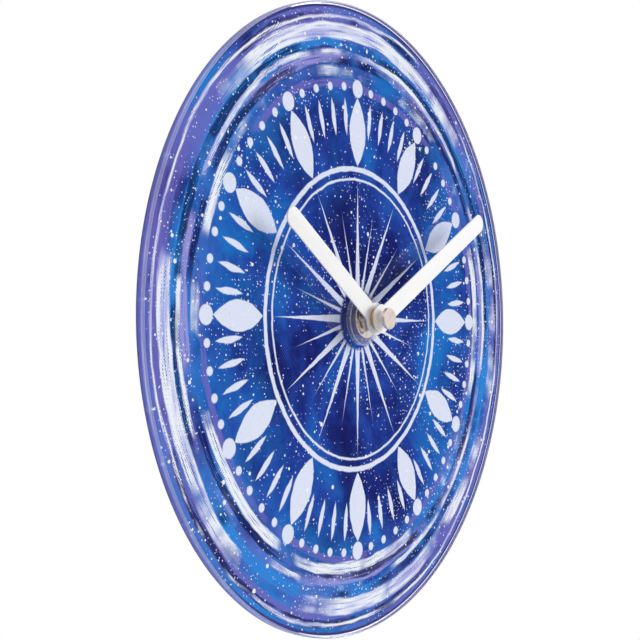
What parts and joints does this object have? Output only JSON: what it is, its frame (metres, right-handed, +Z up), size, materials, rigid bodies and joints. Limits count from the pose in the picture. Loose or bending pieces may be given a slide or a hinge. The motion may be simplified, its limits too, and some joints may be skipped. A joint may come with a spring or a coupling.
{
  "type": "wall clock",
  "caption": "Frameless round wall clock: printed clear disc, two baton hands on a nested shaft, and a battery quartz movement with a full gear train behind it, hung by a hanger.",
  "frame": {"origin": "on the dial axis, in the plane of the movement's back, which is the wall", "axes": "+Z up, -Y out of the dial towards the viewer, +X to the viewer's right, +Y into the wall"},
  "size_m": [0.273, 0.0369, 0.273],
  "materials": {
    "clear_acrylic": "clear, polished",
    "printed_film": "printed, semi-matt",
    "black_rubber": "matt",
    "nickel_plate": "bright nickel",
    "white_paint": "satin white",
    "turned_brass": "turned",
    "rose_brass": "polished, pale",
    "black_plastic": "fine spark texture",
    "white_acetal": "moulded",
    "tinted_acetal": "moulded",
    "spring_steel": "bright",
    "soft_iron": "dull",
    "magnet": "sintered",
    "bobbin_plastic": "moulded",
    "copper_wire": "enamelled copper",
    "board_laminate": "solder mask",
    "epoxy": "cast drop",
    "cell_steel": "nickel-plated",
    "cell_sleeve": "plain film",
    "knob_plastic": "moulded"
  },
  "bodies": {
    "clock_body": {"acrylic_dial": "clear_acrylic", "printed_film": "printed_film", "dial_gasket": "black_rubber", "clear_washer": "clear_acrylic", "metal_washer": "nickel_plate", "hex_nut": "nickel_plate", "front_case": "black_plastic", "threaded_bush": "nickel_plate", "rear_cover": "black_plastic", "hanger": "black_plastic", "train_plate": "black_plastic", "stator_plate": "soft_iron", "coil_core": "soft_iron", "coil_bobbin": "bobbin_plastic", "coil_winding": "copper_wire", "circuit_board": "board_laminate", "chip_cover": "epoxy", "quartz_crystal": "spring_steel", "positive_contact": "spring_steel", "negative_contact": "spring_steel", "aa_cell": "cell_steel", "aa_cell_sleeve": "cell_sleeve"},
    "minute_hand_group": {"minute_hand": "white_paint", "minute_hand_collet": "turned_brass", "cap_nut": "rose_brass", "minute_pipe": "turned_brass"},
    "hour_hand_group": {"hour_hand": "white_paint", "hour_hand_bush": "turned_brass", "hour_wheel": "white_acetal"},
    "minute_works": {"minute_works_wheel": "white_acetal"},
    "setting_stem": {"setting_pinion": "knob_plastic", "setting_knob": "knob_plastic"},
    "rotor": {"rotor_pinion": "tinted_acetal", "rotor_magnet": "magnet"},
    "intermediate": {"intermediate_wheel": "tinted_acetal"},
    "second": {"second_wheel": "white_acetal", "second_arbor": "spring_steel"},
    "third": {"third_wheel": "tinted_acetal"},
    "center": {"center_wheel": "white_acetal", "clutch_spring": "spring_steel"}
  },
  "joints": [
    {"name": "minute_spin", "type": "hinge", "parent": "clock_body", "child": "minute_hand_group", "pos_m": [0, -0.01645, 0], "axis": [0, 1, 0], "continuous": true},
    {"name": "hour_spin", "type": "hinge", "parent": "clock_body", "child": "hour_hand_group", "pos_m": [0, -0.01645, 0], "axis": [0, 1, 0], "continuous": true},
    {"name": "minute_works_spin", "type": "hinge", "parent": "clock_body", "child": "minute_works", "pos_m": [0.00956, -0.01645, 0.00084], "axis": [0, 1, 0], "continuous": true},
    {"name": "setting_knob_spin", "type": "hinge", "parent": "clock_body", "child": "setting_stem", "pos_m": [0.01858, -0.01645, 0.00412], "axis": [0, 1, 0], "continuous": true},
    {"name": "rotor_spin", "type": "hinge", "parent": "clock_body", "child": "rotor", "pos_m": [-0.01273, -0.01645, 0.01343], "axis": [0, 1, 0], "continuous": true},
    {"name": "intermediate_spin", "type": "hinge", "parent": "clock_body", "child": "intermediate", "pos_m": [-0.00836, -0.01645, 0.00585], "axis": [0, 1, 0], "continuous": true},
    {"name": "second_spin", "type": "hinge", "parent": "clock_body", "child": "second", "pos_m": [0, -0.01645, 0], "axis": [0, 1, 0], "continuous": true},
    {"name": "third_spin", "type": "hinge", "parent": "clock_body", "child": "third", "pos_m": [0.00495, -0.01645, 0.00857], "axis": [0, 1, 0], "continuous": true},
    {"name": "center_spin", "type": "hinge", "parent": "clock_body", "child": "center", "pos_m": [0, -0.01645, 0], "axis": [0, 1, 0], "continuous": true}
  ],
  "couplings": [
    {"joint": "hour_spin", "follows": "minute_spin", "ratio": 0.083333},
    {"joint": "minute_works_spin", "follows": "minute_spin", "ratio": -0.33333},
    {"joint": "setting_knob_spin", "follows": "minute_spin", "ratio": 1},
    {"joint": "intermediate_spin", "follows": "rotor_spin", "ratio": -0.16667},
    {"joint": "second_spin", "follows": "rotor_spin", "ratio": 0.033333},
    {"joint": "third_spin", "follows": "rotor_spin", "ratio": -0.0044444},
    {"joint": "center_spin", "follows": "rotor_spin", "ratio": 0.00055556}
  ]
}
